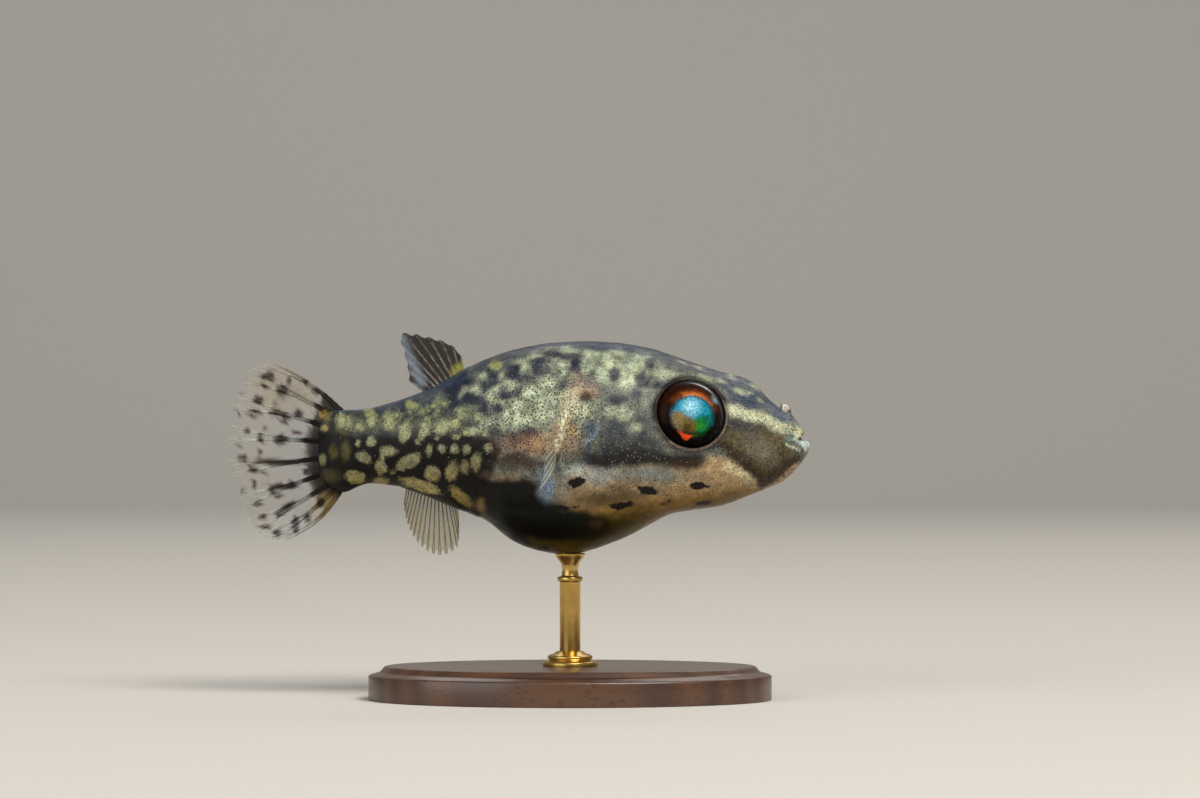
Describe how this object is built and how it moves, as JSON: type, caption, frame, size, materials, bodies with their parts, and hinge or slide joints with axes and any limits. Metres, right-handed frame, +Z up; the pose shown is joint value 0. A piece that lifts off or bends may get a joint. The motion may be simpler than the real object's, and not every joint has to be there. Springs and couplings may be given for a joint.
{
  "type": "freshwater pufferfish model",
  "caption": "Small mottled freshwater pufferfish with a full belly and big dark eyes, held level on a rod over an oval display base.",
  "frame": {"origin": "centre of the display stand's underside, on the surface that the stand rests on", "axes": "+X towards the snout, +Y to the fish's left side, +Z up"},
  "size_m": [0.045, 0.0226, 0.0282],
  "materials": {
    "skin": "smooth scaleless fish skin, satin, olive grey with cream and black spots",
    "jaw_skin": "smooth scaleless fish skin, satin, pale lip",
    "tooth": "polished tooth plate",
    "eye": "clear wet cornea over a dark iris",
    "fin": "thin clear fin web over bony rays",
    "stand_wood": "oiled walnut",
    "stand_brass": "satin turned brass"
  },
  "bodies": {
    "root": {"head": "skin", "lower_jaw": "jaw_skin", "beak": "tooth", "trunk": "skin", "tail_stalk": "skin", "eye_right": "eye", "eye_left": "eye", "caudal_fin": "fin", "dorsal_fin": "fin", "anal_fin": "fin", "pectoral_fin_right": "fin", "pectoral_fin_left": "fin", "stand_base": "stand_wood", "stand_rod": "stand_brass", "stand_collar": "stand_brass"}
  },
  "joints": []
}
